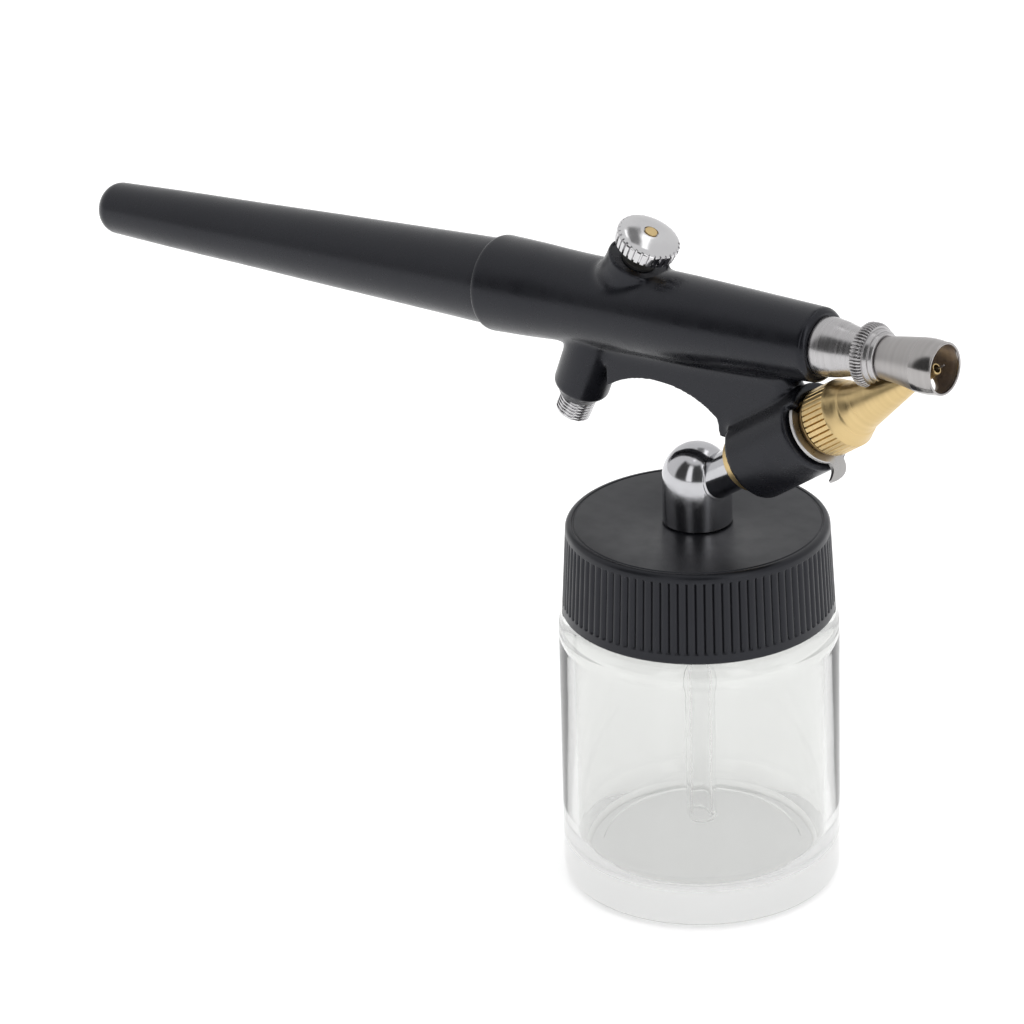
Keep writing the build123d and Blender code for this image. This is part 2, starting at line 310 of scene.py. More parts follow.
def satin_plastic(name, dark, light, roughness):
    material, tree, shader = node_material(name)
    wide = noise(tree, 90)
    tree.links.new(tinted(tree, wide, dark, light), shader.inputs["Base Color"])
    tree.links.new(spread(tree, noise(tree, 400), roughness - 0.04, roughness + 0.05),
                   shader.inputs["Roughness"])
    shader.inputs["IOR"].default_value = 1.42
    shader.inputs["Specular Tint"].default_value = (0.88, 0.90, 1.0, 1)
    bumped(tree, shader, noise(tree, 5200, 2.0), 0.000006, 0.22)
    return material


def metal(name, dark, light, roughness, grain=(1, 1, 1), grain_scale=3000, grain_height=0.000004):
    material, tree, shader = node_material(name)
    shader.inputs["Metallic"].default_value = 1.0
    tree.links.new(tinted(tree, noise(tree, 260), dark, light), shader.inputs["Base Color"])
    tree.links.new(spread(tree, noise(tree, 900), roughness * 0.8, roughness * 1.25),
                   shader.inputs["Roughness"])
    bumped(tree, shader, noise(tree, grain_scale, 2.0, grain), grain_height, 0.6)
    return material


def turned_metal(name, place, dark, light, roughness, matte_until=None):
    """Metal with fine turning lines about the Z axis of place, dull up to a station if one is given."""
    material, tree, shader = node_material(name)
    shader.inputs["Metallic"].default_value = 1.0
    coordinates = tree.nodes.new("ShaderNodeTexCoord")
    along = tree.nodes.new("ShaderNodeMapping")
    along.vector_type = "TEXTURE"
    along.inputs["Location"].default_value = place.to_translation() * MM
    along.inputs["Rotation"].default_value = place.to_euler()
    tree.links.new(coordinates.outputs["Object"], along.inputs["Vector"])
    stretched = tree.nodes.new("ShaderNodeVectorMath")
    stretched.operation = "MULTIPLY"
    stretched.inputs[1].default_value = (0.03, 0.03, 1)
    tree.links.new(along.outputs["Vector"], stretched.inputs[0])

    def lines(scale, detail):
        texture = tree.nodes.new("ShaderNodeTexNoise")
        texture.inputs["Scale"].default_value = scale
        texture.inputs["Detail"].default_value = detail
        tree.links.new(stretched.outputs["Vector"], texture.inputs["Vector"])
        return texture.outputs["Fac"]

    tree.links.new(tinted(tree, lines(1500, 3.0), dark, light), shader.inputs["Base Color"])
    if matte_until is None:
        tree.links.new(spread(tree, lines(2600, 2.0), roughness * 0.8, roughness * 1.25),
                       shader.inputs["Roughness"])
    else:
        split = tree.nodes.new("ShaderNodeSeparateXYZ")
        tree.links.new(along.outputs["Vector"], split.inputs["Vector"])
        edge, blur, matte_roughness = matte_until * MM, 0.0001, 0.34
        change = spread(tree, split.outputs["Z"], matte_roughness, roughness, edge - blur, edge + blur)
        tree.links.new(change, shader.inputs["Roughness"])
    bumped(tree, shader, lines(4200, 1.0), 0.000003, 0.5)
    return material


def clear(name, colour, ior, roughness):
    material, tree, shader = node_material(name)
    shader.inputs["Base Color"].default_value = (*colour, 1)
    shader.inputs["Transmission Weight"].default_value = 1.0
    shader.inputs["IOR"].default_value = ior
    tree.links.new(spread(tree, noise(tree, 150), roughness, roughness + 0.03),
                   shader.inputs["Roughness"])
    bumped(tree, shader, noise(tree, 60, 1.0), 0.0003, 0.12)
    return material


def matte(name, dark, light, roughness, scale=1500):
    material, tree, shader = node_material(name)
    tree.links.new(tinted(tree, noise(tree, scale), dark, light), shader.inputs["Base Color"])
    shader.inputs["Roughness"].default_value = roughness
    bumped(tree, shader, noise(tree, scale * 2), 0.00002, 0.5)
    return material


black_plastic = satin_plastic("black_plastic", (0.0045, 0.0047, 0.0065), (0.0065, 0.0068, 0.0088), 0.27)
cap_plastic = satin_plastic("cap_plastic", (0.0042, 0.0044, 0.0058), (0.0062, 0.0065, 0.0082), 0.33)
chrome = metal("chrome", (0.585, 0.58, 0.59), (0.645, 0.64, 0.65), 0.12)
elbow_chrome = metal("elbow_chrome", (0.49, 0.49, 0.51), (0.54, 0.54, 0.56), 0.13)
nose_chrome = turned_metal("nose_chrome", barrel, (0.45, 0.44, 0.445), (0.50, 0.49, 0.495), 0.25)
skirt_chrome = turned_metal("skirt_chrome", barrel, (0.37, 0.355, 0.35), (0.41, 0.395, 0.39), 0.16, 37.2)
inner_chrome = turned_metal("inner_chrome", barrel, (0.36, 0.31, 0.28), (0.42, 0.365, 0.33), 0.45)
brass = turned_metal("brass", feed, (0.61, 0.455, 0.225), (0.67, 0.505, 0.255), 0.34)
# A darker brown copy of the brass: painted shade for the tip base's rim behind the knurl.
shade_painted_brass = turned_metal("shade_painted_brass", feed, (0.25, 0.17, 0.075), (0.33, 0.225, 0.10), 0.38)
steel = metal("steel", (0.46, 0.45, 0.45), (0.54, 0.53, 0.52), 0.30, grain=(1, 6, 1))
glass = clear("glass", (0.815, 0.82, 0.81), 1.5, 0.0)
tube_plastic = clear("tube_plastic", (0.975, 0.975, 0.975), 1.10, 0.05)
rubber = matte("rubber", (0.018, 0.018, 0.018), (0.028, 0.028, 0.028), 0.7)
foam = matte("foam", (0.78, 0.78, 0.75), (0.86, 0.86, 0.84), 0.8, 2500)
nylon = matte("nylon", (0.72, 0.69, 0.62), (0.80, 0.77, 0.70), 0.5)


# ---- jar ----
def glass_jar():
    heel = arc(2.0, jar_radius - 2.0, 2.0, -85, 0, 8)
    outside = [(0.02, 0), (0.02, 16.6)] + heel
    outside += [(37.6, jar_radius)] + flow([(38.2, 18.9), (38.9, 18.4), (39.35, 17.4), (39.45, 16.2)], 3)
    lip = arc(49.4, neck_radius - 0.5, 0.5, 0, 90, 4)
    inside = arc(49.4, 13.9, 0.5, 90, 180, 4)
    inside += flow([(41.0, 13.4), (39.6, 13.7), (37.8, 15.4), (36.0, 17.0), (34.5, 17.2)], 4)
    inside += [(9.0, 17.2)] + flow([(7.8, 17.1), (6.2, 16.6), (5.1, 15.7), (4.6, 14.8), (4.45, 14.0)], 4)
    inside += [(4.4, 13.75), (4.2, 13.6), (4.15, 13.4), (4.15, 0)]
    pitch, depth, start, turns, half_width = 4.0, 0.6, 41.6, 1.3, 0.8

    def thread(station, radius, angle):
        if abs(radius - neck_radius) > 0.05:
            return 0
        best = 0
        for lap in range(3):
            turned = angle / (2 * math.pi) + lap
            crest = start + pitch * turned
            fade = min(1, max(0, 8 * (turns - turned)), 8 * turned)
            best = max(best, fade * max(0, 1 - abs(station - crest) / half_width))
        return depth * min(1, 1.6 * best)

    steps = 50
    neck = [(neck_foot + 9.8 * k / steps, neck_radius) for k in range(steps)]
    outline = outside + neck + lip + inside
    piece = shaped("glass_jar", turned_mesh(upright, outline, 160, thread))
    return placed(piece, "jar", glass, ["bottle"])


def ribbed_cap():
    count, depth = 94, 0.34
    band_top, rib_top, end_length = cap_bottom + 1.35, cap_top - 1.15, 0.2
    bore = 16.3

    def wall(station):
        share = (station - cap_bottom) / (cap_top - cap_bottom)
        return cap_bottom_radius + (cap_top_radius - cap_bottom_radius) * share

    def ribs(station, radius, angle):
        if radius < wall(station) - 0.2 or not band_top < station < rib_top:
            return 0
        ends = min(1, (station - band_top) / end_length, (rib_top - station) / end_length)
        wave = abs(math.sin(count * angle / 2))
        return -depth * ends * (1 - wave ** 0.7)

    def side(station, inset=0.0):
        return (station, wall(station) - inset)

    outline = [(cap_bottom, bore + 0.3), side(cap_bottom, 0.25), side(cap_bottom + 0.2)]
    rise = rib_top - band_top - 2 * end_length
    outline += [side(band_top - 0.05), side(band_top)]
    outline += [side(band_top + end_length + rise * k / 12) for k in range(13)]
    outline += [side(rib_top), side(rib_top + 0.05)]
    outline += arc(cap_top - 0.75, wall(cap_top) - 0.72, 0.75, 10, 90, 6)
    outline += [(cap_top, 16.98), (cap_top - 0.13, 16.9), (cap_top - 0.13, 16.75), (cap_top, 16.6)]
    outline += [(cap_top, 3.4), (cap_top - 0.1, 3.05), (cap_top - 1.7, 3.05), (cap_top - 1.7, bore),
                (cap_bottom + 0.3, bore)]
    cap = shaped("ribbed_cap", turned_mesh(upright, outline, count * 8, ribs))
    vent = turned_mesh(Matrix.Translation((-5.6, 7.2, 0)), [(49, 0), (49, 0.6), (54, 0.6), (54, 0)], 24)
    cut(cap, shaped("vent", vent))
    return placed(cap, "cap", cap_plastic, ["jar_cap"], 30)


def dip_tube():
    outline = soft([(7.6, 1.28), (7.6, 2.05), (46.3, 2.05), (46.3, 1.28)], 0.15)
    tube = shaped("dip_tube", turned_mesh(upright, outline, 48))
    slant = bmesh.new()
    bmesh.ops.create_cube(slant, size=8)
    tilt = Matrix.Translation((0, 0, 7.6)) @ Matrix.Rotation(math.radians(28), 4, "Y")
    bmesh.ops.transform(slant, matrix=tilt @ Matrix.Translation((0, 0, -4)), verts=slant.verts)
    cut(tube, shaped("slant", slant))
    return placed(tube, "pickup", tube_plastic, ["siphon_tube"])


def elbow():
    def domed(radius, under):
        dome = arc(58.94, 0, radius, 0, 90, 20)
        dome[-1] = (58.94 + radius, 0)
        return shaped("elbow_dome", turned_mesh(upright, under + dome, 128))

    piece = domed(4.7, [(40.0, 0), (40.0, 1.25), (46.4, 1.25), (46.4, 2.95), (52.45, 2.95), (52.45, 4.55),
                        (52.6, 4.7)])
    lip = domed(4.78, [(53.0, 0), (53.0, 4.78)])
    cut(lip, shaped("lip_edge", turned_mesh(feed, [(2.4, 0), (2.4, 3.14), (9, 3.14), (9, 0)], 96)),
        operation="INTERSECT")
    merge(piece, lip)
    hole = turned_mesh(feed, [(2.4, 0), (2.4, 2.93), (12, 2.93), (12, 0)], 64)
    cut(piece, shaped("stub_hole", hole))
    placed(piece, "pickup", elbow_chrome, ["elbow_body"])
    tube = soft([(2.4, 1.2), (2.4, 2.92), (18.6, 2.92), (18.6, 1.2)], 0.3)
    stub = shaped("feed_tube", turned_mesh(feed, tube, 96))
    placed(stub, "pickup", elbow_chrome, ["feed_stub"])


# ---- the moulded body ----
def filled_creases(piece, rounds=50, settle=8):
    """Turn the concave creases of a fine all-quad mesh into fillets, then even it out."""
    data = piece.data
    points = np.empty(len(data.vertices) * 3)
    data.vertices.foreach_get("co", points)
    points = points.reshape(-1, 3)
    edges = np.empty(len(data.edges) * 2, int)
    data.edges.foreach_get("vertices", edges)
    a, b = edges.reshape(-1, 2).T
    corners = np.array([tuple(face.vertices) for face in data.polygons])
    count = len(points)
    links = np.bincount(a, minlength=count) + np.bincount(b, minlength=count)

    def pull():
        """From each point to the middle of its neighbours."""
        total = np.empty_like(points)
        for k in range(3):
            total[:, k] = np.bincount(a, points[b, k], count) + np.bincount(b, points[a, k], count)
        return total / links[:, None] - points

    def normals():
        """The surface's unit normal at each point."""
        p = points[corners]
        face = np.cross(p[:, 2] - p[:, 0], p[:, 3] - p[:, 1])
        total = np.zeros_like(points)
        for k in range(3):
            for corner in range(4):
                total[:, k] += np.bincount(corners[:, corner], face[:, k], count)
        return total / np.linalg.norm(total, axis=1)[:, None]

    first_smoothing, half_step, back_step = 3, 0.5, 0.52
    fill_step, flat_enough, rounds_per_normal = 0.7, 0.0006, 5
    for _ in range(first_smoothing):
        points += half_step * pull()
    for turn in range(rounds):
        if turn % rounds_per_normal == 0:
            outward = normals()
        rise = np.maximum(0, (pull() * outward).sum(1) - flat_enough)
        points += fill_step * rise[:, None] * outward
    for _ in range(settle):
        points += half_step * pull()
        points -= back_step * pull()
    data.vertices.foreach_set("co", points.ravel())
    data.update()


def barrel_moulding():
    curve = flow([(-32.9, 6.6), (-27, 6.42), (-19, 6.09), (-4, 5.95), (5.5, 5.62), (20.8, 5.0)])
    tube = [(barrel_rear, 0), (barrel_rear, 6.0)] + arc(-32.9, 6.0, 0.6, -90, 0, 5)[1:-1] + curve
    tube += [(barrel_front, 4.45), (barrel_front, 0)]
    turret = [(0, 0), (0, 4.75), (4.4, 4.75), (5.2, 4.5), (6.0, 4.38), (7.4, 4.3), (8.4, 4.3), (8.55, 4.2),
              (8.55, 0)]
    foot = [(2.7, 0), (2.7, 2.6)] + arc(4.9, 2.9, 1.0, -70, -20, 3) + [(5.2, 3.85), (19.0, 4.0), (19.0, 0)]
    arch_middle, arch_half, arch_crown = -4.2, 9.3, 72.15
    arch = []
    for k in range(17):
        share = -1 + 2 * k / 16
        arch.append((arch_middle + arch_half * share, arch_crown - 2.35 * share ** 2 - 0.55 * share ** 4))
    plate = arch + [(5.5, 66.85), (9.6, 66.8), (19.0, 73.6), (14.9, 73.6), (14.9, 80.0), (-13.5, 78.0)]
    web_half = 2.2
    front = turned_mesh(Matrix.Translation((14.9, 0, 72)), [(0, 0), (0, web_half), (8, web_half), (8, 0)], 64)
    socket = [(12.3, 0), (12.3, 5.75), (12.4, 5.83), (23.8, 5.8), (24.0, 5.65), (24.0, 0)]
    meshes = [
        turned_mesh(barrel, tube, 192), turned_mesh(valve, turret, 96), turned_mesh(boss, foot, 96),
        prism_mesh(plate, web_half), front, turned_mesh(feed, socket, 128), hood_mesh(),
    ]
    body = joined("barrel_moulding", meshes)
    grid = body.modifiers.new("grid", "REMESH")
    grid.mode = "VOXEL"
    grid.voxel_size = 0.20
    applied(body)
    filled_creases(body)
    holes = [
        turned_mesh(barrel, [(-35, 0), (-35, 6.02), (-32.6, 6.02), (-32.6, 5.0), (-23, 5.0), (-23, 0)], 128),
        turned_mesh(barrel, [(10.1, 0), (10.1, 3.0), (23, 3.0), (23, 0)], 96),
        turned_mesh(valve, [(2.5, 0), (2.5, 2.4), (8.2, 2.4), (8.2, 4.0), (12, 4.0), (12, 0)], 128),
        turned_mesh(valve, [(-22, 0), (-22, 2.48), (-8.6, 2.48), (-8.6, 0)], 64),
        turned_mesh(feed, [(9, 0), (9, 4.05), (28, 4.05), (28, 0)], 128),
    ]
    cut(body, joined("holes", holes))
    return placed(body, "gun", black_plastic, ["gun_body"], 45)


def hood_mesh():
    """The raised keeper between the clip's ends: a sector of a ring at the top of the socket."""
    half, steps = math.radians(40), 16
    mesh = bmesh.new()
    rings = []
    for k in range(steps + 1):
        angle = -half + 2 * half * k / steps
        ring = []
        for station, radius in ((23.5, 4.4), (23.5, 5.8), (25.9, 5.8), (25.9, 4.65), (24.1, 4.4)):
            spot = Vector((radius * math.cos(angle), radius * math.sin(angle), station))
            ring.append(mesh.verts.new(feed @ spot))
        rings.append(ring)
    for low, high in zip(rings, rings[1:]):
        for i in range(5):
            n = (i + 1) % 5
            mesh.faces.new((low[i], low[n], high[n], high[i]))
    mesh.faces.new(rings[0])
    mesh.faces.new(rings[-1])
    bmesh.ops.recalc_face_normals(mesh, faces=mesh.faces)
    return mesh


def tapered_handle():
    curve = flow([(-103.2, 3.68), (-90.8, 4.15), (-78, 4.52), (-66, 4.93), (-54, 5.3), (-43, 5.65),
                  (-33.3, 5.95)])
    cap = arc(-103.2, 0.9, 2.78, -88, -8, 10)
    cap = [(-103.2 + (station + 103.2) * 0.93, radius) for station, radius in cap]
    outline = [(-105.8, 0)] + cap + curve + soft([(-32.72, 5.95), (-32.72, 4.96), (-24.2, 4.96), (-24.0, 4.7),
                                                  (-24.0, 3.5), (-95, 2.4), (-95, 0.01)], 0.1)
    outline[-1] = (-95, 0)
    piece = shaped("tapered_handle", turned_mesh(barrel, outline, 128))
    return placed(piece, "handle", black_plastic, ["handle"])


# ---- nose ----
def tip_room():
    """The space that the paint tip needs, taken out of the nose pieces."""
    room = 0.45
    outline = [(24, 0), (24, knurl_radius + room), (knurl_end + 0.6, knurl_radius + room),
               (33.0, 3.45 + room), (40.0, 2.5), (46.0, 2.5), (49.5, 1.5), (49.5, 0)]
    return shaped("tip_room", turned_mesh(feed, outline, 96))


def chrome_head():
    cone = flow([(22.7, 3.95), (24.3, 3.72), (25.6, 3.42), (27.0, 3.14), (ring_start - 0.1, 2.92)], 4)
    outline = [(11.6, 1.2), (11.6, 2.95), (21.45, 2.95), (21.45, 3.95)] + cone
    outline += [(ring_start - 0.05, 2.86), (ring_start - 0.05, 2.6), (ring_end + 1.2, 2.6),
                (ring_end + 1.2, 1.5), (28.0, 1.5), (28.0, 1.2)]
    piece = shaped("chrome_head", turned_mesh(barrel, soft(outline, 0.1), 160))
    cut(piece, tip_room(), "EXACT")
    return placed(piece, "gun", nose_chrome, ["nose_head"], 30)


def knurled_ring():
    count, depth = 56, 0.34

    def knurl(station, radius, angle):
        if radius < 3.87 or station > 29.95:
            return 0
        share = (count * angle / (2 * math.pi)) % 1
        fade = min(1, (29.95 - station) / 0.15)
        return -depth * fade * min(1, 1.5 * max(0, 1 - abs(share - 0.5) / 0.32))

    outline = [(ring_start, 2.63), (ring_start, 4.0), (ring_start + 0.05, 4.12), (ring_start + 0.16, 4.28)]
    outline += [(ring_start + 0.3, 4.3), (28.9, 4.3), (29.35, 4.3), (29.6, 4.18), (29.8, 4.04), (29.96, 3.92)]
    steps = [(30.0, 3.65), (30.62, 3.6), (30.65, 3.32), (ring_end - 0.1, 3.26), (ring_end, 3.12)]
    outline += soft([(29.96, 3.92)] + steps + [(ring_end, 2.63)], 0.06, 2)[3:-3]
    outline += [(ring_end, 2.63)]
    piece = shaped("knurled_ring", turned_mesh(barrel, outline, count * 10, knurl))
    cut(piece, tip_room(), "EXACT")
    return placed(piece, "gun", nose_chrome, ["lock_ring"], 30)


def flared_skirt():
    start = ring_end + 0.05
    outer = [(start, 2.78), (start + 0.08, 2.87), (32.5, 3.02), (34.5, 3.295), (36.5, 3.567), (37.1, 3.648)]
    outer += flow([(37.24, 3.665), (38.2, 3.70), (39.2, 3.65), (mouth_end - 0.15, 3.5)], 5)
    mouth = arc(mouth_end - 0.165, 3.345, 0.165, 15, 165, 6)
    inner = flow([(mouth_end - 0.4, 3.19), (38.4, 3.37), (37.2, 3.33), (35.0, 3.03), (33.3, 2.8),
                  (32.6, 2.65)])
    piece = shaped("flared_skirt", turned_mesh(barrel, outer + mouth + inner + [(start, 2.63)], 192))
    cut(piece, tip_room(), "EXACT")
    placed(piece, "gun", skirt_chrome, ["air_cap"], 30)

    def facing_in(spot, normal):
        return spot.z < mouth_end - 0.3 and spot.x * normal.x + spot.y * normal.y < 0

    repaint(piece, inner_chrome, barrel, facing_in)
    return piece


# ---- valve ----
def hose_stud():
    crest, root, pitch = 2.45, 2.18, 0.5
    thread_top, relief_end = -15.2, -15.0
    outline = [(-19.2, 1.75), (-19.2, 2.1)]
    steps_per_turn = 10
    count = int((thread_top + 19.1) / pitch * steps_per_turn)
    outline += [(-19.1 + k * pitch / steps_per_turn, crest) for k in range(count)]
    outline += [(relief_end, crest), (-8.65, crest), (-8.65, 1.25), (-9.7, 1.25), (-9.7, 1.75)]

    def thread(station, radius, angle):
        if radius < crest or station > thread_top:
            return 0
        share = (station / pitch - angle / (2 * math.pi)) % 1
        fade = min(1, (station + 19.15) / 0.25)
        return -(crest - root) * max(0, 1 - 3.2 * abs(share - 0.5)) * max(0.2, fade)

    piece = shaped("hose_stud", turned_mesh(valve, outline, 96, thread))
    return placed(piece, "gun", chrome, ["valve_sleeve"], 60)


def domed_button():
    count, depth = 31, 0.34
    top = button_bottom + button_height

    def notches(station, radius, angle):
        if radius < 4.05 or station > top - 0.85:
            return 0
        share = (count * angle / (2 * math.pi)) % 1
        return -depth if share < 0.22 else 0

    outline = [(button_bottom + 0.35, 0.9), (button_bottom + 0.35, 3.5), (button_bottom, 3.6)]
    outline += [(button_bottom, 4.15), (button_bottom + 0.08, 4.25), (top - 1.35, 4.39), (top - 1.07, 4.37)]
    outline += [(top - 0.93, 4.29)]
    outline += flow([(top - 0.85, 4.15), (top - 0.53, 3.45), (top - 0.24, 2.5), (top - 0.09, 1.6),
                     (top - 0.05, 1.12)]) + [(top - 0.1, 1.04), (top - 0.3, 0.98), (top - 0.3, 0.9)]
    piece = shaped("domed_button", turned_mesh(valve, outline, count * 10, notches))
    placed(piece, "button", chrome, ["finger_button"], 35)
    rod = [(top, 0)] + arc(top - 0.1, 0.76, 0.1, 90, 0, 3)[1:] + [(-10.32, 0.88), (-10.32, 1.5)]
    rod += [(-11.02, 1.5), (-11.02, 0.6), (-12.4, 0.6), (-12.4, 0)]
    placed(shaped("brass_rod", turned_mesh(valve, rod, 48)), "button", brass, ["valve_rod"])
    bush = soft([(4.0, 0.94), (4.0, 2.37), (8.5, 2.37), (8.5, 0.94)], 0.08)
    placed(shaped("rod_bush", turned_mesh(valve, bush, 96)), "gun", rubber, ["button_bush"])


# ---- paint tip group ----
def brass_base():
    outline = [(9.7, 2.98), (9.7, 3.8), (9.9, 4.0), (24.4, 4.0), (24.4, 3.3), (25.1, 3.3), (25.1, 3.9),
               (26.0, 4.45), (26.2, 4.45), (26.2, 2.4), (31.0, 2.4), (31.0, 1.5), (23.4, 1.5),
               (23.4, 1.95), (19.2, 1.95), (19.2, 2.98), (13.4, 2.98), (13.4, 3.55), (12.0, 3.55),
               (12.0, 2.98)]
    piece = shaped("brass_base", turned_mesh(feed, soft(outline, 0.08, 3), 128))
    placed(piece, "gun", brass, ["tip_base"])
    # Painted shade: the base's faces beyond station 24.3 get the darker brown brass.
    repaint(piece, shade_painted_brass, feed, lambda spot, normal: spot.z > 24.3)
    return piece


def brass_tip():
    count, depth = 38, 0.28

    def knurl(station, radius, angle):
        if radius < 4.2 or station > knurl_end:
            return 0
        share = (count * angle / (2 * math.pi)) % 1
        fade = min(1, (knurl_end - station) / 0.3)
        return -depth * fade * max(0, 1 - abs(share - 0.5) / 0.13)

    outline = [(26.4, 2.46), (26.4, 4.5), (26.6, 4.7), (27.5, 4.7), (28.5, 4.7), (29.5, 4.7), (30.1, 4.7)]
    outline += [(knurl_end, 4.69), (knurl_end + 0.12, 4.6), (knurl_end + 0.3, 4.5), (31.1, 4.31)]
    outline += [(31.6, 4.08), (32.05, 3.84), (32.2, 3.74), (32.3, 3.62), (32.38, 3.56)]
    outline += [(34.0, 3.218), (37.0, 2.583), (40.0, 1.944), (42.1, 1.5)]
    outline += flow([(42.1, 1.5), (45.5, 0.98), (47.5, 0.77)], 5)[1:]
    outline += [(47.6, 0.7), (47.6, 0.56), (33.5, 1.5), (32.3, 2.46)]
    piece = shaped("brass_tip", turned_mesh(feed, outline, count * 12, knurl))
    return placed(piece, "paint_tip", brass, ["paint_tip"], 32)


def steel_needle():
    outline = [(21.0, 0), (21.0, 0.45), (21.6, 0.45), (21.6, 1.93), (23.2, 1.93), (23.2, 0.45), (44.0, 0.45),
               (48.95, 0.07), (49.0, 0)]
    piece = shaped("steel_needle", turned_mesh(feed, outline, 48))
    return placed(piece, "gun", steel, ["fluid_needle"])


def c_clip():
    """A spring-steel C with a hooked tab, open at the top where the keeper sits."""
    inner, outer, low, high = 3.35, 5.1, 24.5, 25.05
    gap, steps = math.radians(44), 72
    mesh = bmesh.new()
    rings = []
    for k in range(steps + 1):
        angle = gap + (2 * math.pi - 2 * gap) * k / steps
        corners = ((inner, low), (outer - 0.1, low), (outer, low + 0.1), (outer, high - 0.1),
                   (outer - 0.1, high), (inner, high))
        spots = [Vector((r * math.cos(angle), r * math.sin(angle), s)) for r, s in corners]
        rings.append([mesh.verts.new(feed @ spot) for spot in spots])
    for lower, upper in zip(rings, rings[1:]):
        for i in range(len(lower)):
            n = (i + 1) % len(lower)
            mesh.faces.new((lower[i], lower[n], upper[n], upper[i]))
    mesh.faces.new(rings[0])
    mesh.faces.new(rings[-1])
    bmesh.ops.recalc_face_normals(mesh, faces=mesh.faces)
    tab = bmesh.new()
    hook = [(-5.3, 1.5), (-6.0, 1.75), (-6.6, 2.5), (-6.9, 3.05), (-7.25, 2.65), (-7.3, 1.5), (-7.05, 0.2),
            (-6.3, -0.75), (-5.4, -1.05)]
    profile = [(-4.3, 1.6)] + flow(hook, 3) + [(-4.3, -1.1)]
    under = [tab.verts.new(feed @ Vector((x, y, low + 0.01))) for x, y in profile]
    over = [tab.verts.new(feed @ Vector((x, y, high - 0.01))) for x, y in profile]
    tab.faces.new(under)
    tab.faces.new(list(reversed(over)))
    for i in range(len(profile)):
        n = (i + 1) % len(profile)
        tab.faces.new((under[i], under[n], over[n], over[i]))
    bmesh.ops.recalc_face_normals(tab, faces=tab.faces)
    piece = merge(shaped("c_clip", mesh), shaped("tab", tab))
    return placed(piece, "gun", steel, ["retaining_clip"])


glass_jar()
ribbed_cap()
dip_tube()
elbow()
barrel_moulding()
tapered_handle()
chrome_head()
knurled_ring()
flared_skirt()
hose_stud()
domed_button()
brass_base()
brass_tip()
steel_needle()
c_clip()

# The small pieces inside keep their CAD shapes and get their own finishes.
inner_finishes = {
    "cap_liner": foam, "cap_washer": nylon, "elbow_nut": brass, "nose_seal": rubber, "air_jet": brass,
    "valve_washer": rubber, "valve_spring": steel, "spring_retainer": brass, "rod_packing": rubber,
    "stub_seal": rubber, "tip_seal": rubber,
}
for node_name, finish in inner_finishes.items():
    node = frame["nodes"][node_name]
    node.data.materials.clear()
    node.data.materials.append(finish)


# ---- studio ----
def floor():
    half = 3.0
    mesh = bmesh.new()
    corners = ((-half, -half), (half, -half), (half, half), (-half, half))
    mesh.faces.new([mesh.verts.new((x, y, 0.00005)) for x, y in corners])
    plane = shaped("studio_floor", mesh)
    material, tree, shader = node_material("studio_paper")
    tree.links.new(tinted(tree, noise(tree, 30), (0.62, 0.62, 0.62), (0.65, 0.65, 0.65)),
                   shader.inputs["Base Color"])
    shader.inputs["Roughness"].default_value = 0.75
    shader.inputs["Emission Color"].default_value = (1.0, 1.0, 1.0, 1)
    shader.inputs["Emission Strength"].default_value = floor_glow
    plane.data.materials.append(material)


def softbox(name, place, target, width, height, power):
    light = bpy.data.lights.new(name, "AREA")
    light.shape = "RECTANGLE"
    light.size = width
    light.size_y = height
    light.energy = power
    lamp = bpy.data.objects.new(name, light)
    lamp.location = place
    lamp.rotation_euler = (Vector(place) - Vector(target)).to_track_quat("Z", "Y").to_euler()
    lamp.visible_glossy = False
    bpy.context.scene.collection.objects.link(lamp)


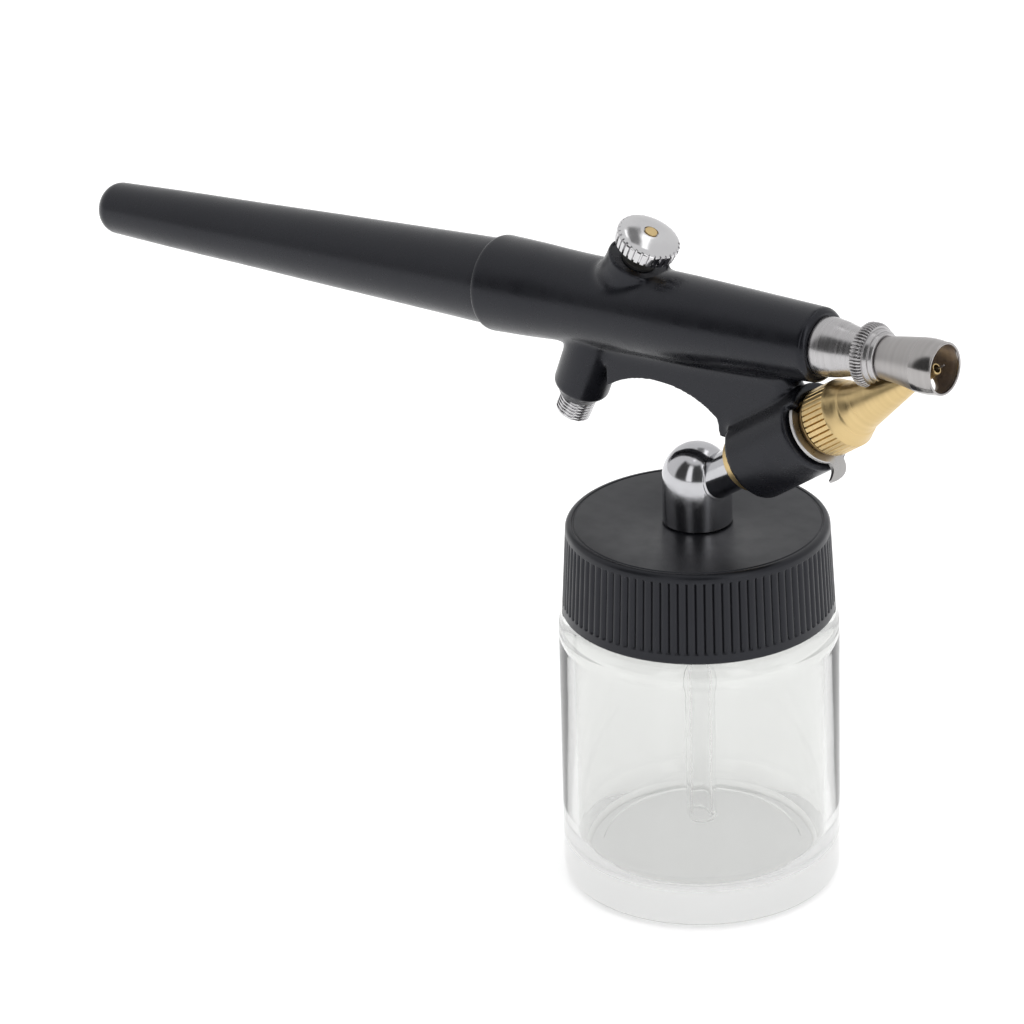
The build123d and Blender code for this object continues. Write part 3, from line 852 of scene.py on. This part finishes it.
def world_light():
    """An even pale tent, with a dark opening on the front side and two narrow strip lights beside it."""
    world = bpy.data.worlds.new("studio")
    bpy.context.scene.world = world
    world.use_nodes = True
    tree = world.node_tree
    background = tree.nodes["Background"]

    def math_node(operation, *values):
        node = tree.nodes.new("ShaderNodeMath")
        node.operation = operation
        for socket, value in zip(node.inputs, values):
            if isinstance(value, (int, float)):
                socket.default_value = value
            else:
                tree.links.new(value, socket)
        return node.outputs[0]

    def window(value, low, high, edge):
        """One between low and high, with edges that soften over edge."""
        rise = tree.nodes.new("ShaderNodeMapRange")
        rise.interpolation_type = "SMOOTHSTEP"
        rise.inputs["From Min"].default_value = low - edge
        rise.inputs["From Max"].default_value = low + edge
        fall = tree.nodes.new("ShaderNodeMapRange")
        fall.interpolation_type = "SMOOTHSTEP"
        fall.inputs["From Min"].default_value = high + edge
        fall.inputs["From Max"].default_value = high - edge
        tree.links.new(value, rise.inputs["Value"])
        tree.links.new(value, fall.inputs["Value"])
        return math_node("MULTIPLY", rise.outputs[0], fall.outputs[0])

    place = tree.nodes.new("ShaderNodeTexCoord")
    split = tree.nodes.new("ShaderNodeSeparateXYZ")
    tree.links.new(place.outputs["Generated"], split.inputs["Vector"])
    azimuth = math_node("ARCTAN2", split.outputs["X"], math_node("MULTIPLY", split.outputs["Y"], -1.0))
    bearing = math_node("SUBTRACT", azimuth, math.radians(front_bearing))
    height = split.outputs["Z"]
    # Seen level: the dark opening, and the two strips beside and in it.
    opening = math_node("MULTIPLY", window(bearing, math.radians(-80), math.radians(20), 0.10),
                        window(height, 0.0, 0.84, 0.05))
    strips = math_node("MAXIMUM", window(bearing, math.radians(-38), math.radians(-20), 0.05),
                       window(bearing, math.radians(23), math.radians(39), 0.05))
    strips = math_node("MULTIPLY", strips, window(height, 0.02, 0.80, 0.05))

    def along(bearing_from_front):
        """How far the direction reaches towards a level bearing."""
        turn = math.radians(front_bearing + bearing_from_front)
        product = tree.nodes.new("ShaderNodeVectorMath")
        product.operation = "DOT_PRODUCT"
        tree.links.new(place.outputs["Generated"], product.inputs[0])
        product.inputs[1].default_value = (math.sin(turn), -math.cos(turn), 0)
        return product.outputs["Value"]

    # Seen overhead: a dark gap behind the object, with two bright strips and a small bright spot.
    back, side = along(180), along(90)
    overhead = window(height, 0.3, 2.0, 0.1)
    gap = math_node("MULTIPLY", window(back, 0.0, 0.60, 0.05), window(side, 0.05, 0.30, 0.03))
    gap = math_node("MULTIPLY", gap, overhead)
    pair = math_node("MAXIMUM",
                     math_node("MULTIPLY", window(back, -0.08, 0.50, 0.03), window(side, 0.34, 0.46, 0.02)),
                     math_node("MULTIPLY", window(back, 0.20, 0.50, 0.03), window(side, -0.06, 0.02, 0.02)))
    spot = math_node("MULTIPLY", window(back, -0.32, -0.22, 0.03), window(side, -0.17, -0.07, 0.03))
    pair = math_node("MULTIPLY", math_node("MAXIMUM", pair, spot), overhead)
    dark = math_node("MAXIMUM", opening, math_node("MULTIPLY", gap, 0.75))
    shade = math_node("SUBTRACT", tent_light, math_node("MULTIPLY", dark, tent_light - opening_light))
    bright = math_node("MAXIMUM", strips, math_node("MULTIPLY", pair, 0.8))
    shade = math_node("ADD", shade, math_node("MULTIPLY", bright, strip_light))
    # Where a view looks past the floor, it sees plain pale paper instead of the openings.
    seen = tree.nodes.new("ShaderNodeLightPath").outputs["Is Camera Ray"]
    shade = math_node("MAXIMUM", shade, math_node("MULTIPLY", seen, far_light))
    tree.links.new(shade, background.inputs["Strength"])
    background.inputs["Color"].default_value = (1.0, 1.0, 1.0, 1)


def camera():
    azimuth, elevation, roll = math.radians(39.654), math.radians(24.742), math.radians(-1.603)
    distance, target = 0.82137, Vector((-0.01914, -0.01587, 0.05429))
    back = Vector((math.cos(elevation) * math.sin(azimuth), -math.cos(elevation) * math.cos(azimuth),
                   math.sin(elevation)))
    level = Vector((math.cos(azimuth), math.sin(azimuth), 0))
    upward = back.cross(level)
    right = level * math.cos(roll) + upward * math.sin(roll)
    up = back.cross(right)
    view = bpy.data.objects.new("camera", bpy.data.cameras.new("camera"))
    view.data.lens = 215.42
    view.data.sensor_width = 36.0
    view.data.clip_start = 0.05
    view.data.clip_end = 20.0
    turn = Matrix((right, up, back)).transposed().to_4x4()
    view.matrix_world = Matrix.Translation(target + back * distance) @ turn
    bpy.context.scene.collection.objects.link(view)
    bpy.context.scene.camera = view


floor()
softbox("top_light", place=(0, 0.1, 1.5), target=(0, 0, 0), width=2.4, height=2.4, power=10)
world_light()
camera()
bpy.context.scene.view_settings.view_transform = "Standard"
